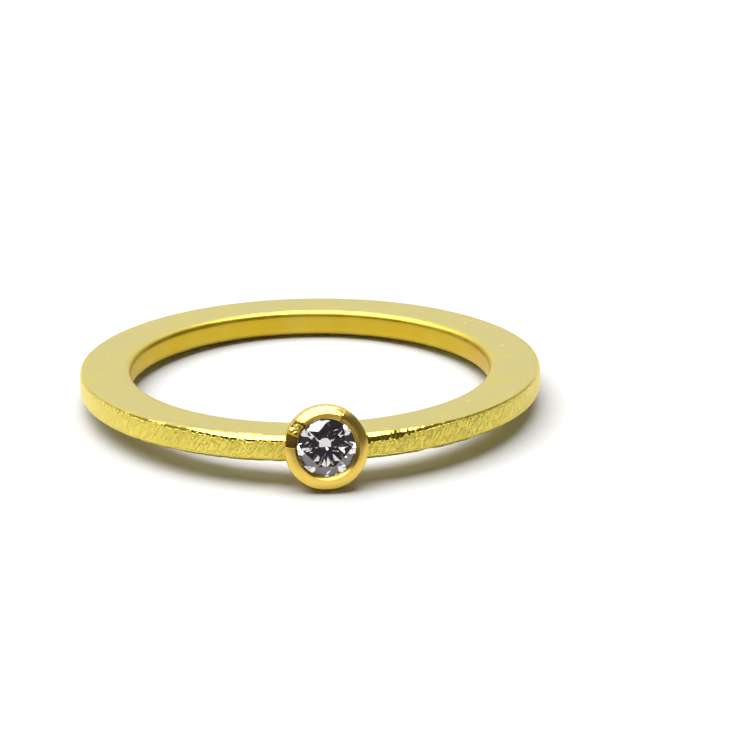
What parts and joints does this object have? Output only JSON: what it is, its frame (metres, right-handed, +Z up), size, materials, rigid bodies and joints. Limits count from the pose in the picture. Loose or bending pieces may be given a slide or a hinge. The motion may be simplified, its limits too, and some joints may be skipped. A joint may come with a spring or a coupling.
{
  "type": "diamond ring",
  "caption": "Flat-sided gold finger ring with a round brilliant diamond in a soldered tapered bezel that looks up a little, lying on its side.",
  "frame": {"origin": "centre of the object's box, at its bottom, on the surface that the ring rests on", "axes": "+Z up, square to the resting surface and close to the finger's axis; -Y from the ring's centre towards the stone; +X across the ring"},
  "size_m": [0.0212, 0.022, 0.0038],
  "materials": {
    "gold": "satin yellow gold, polished at its edges and round the stone",
    "diamond": "clear, cut and polished"
  },
  "bodies": {
    "root": {"gold_ring": "gold", "diamond": "diamond"}
  },
  "joints": []
}
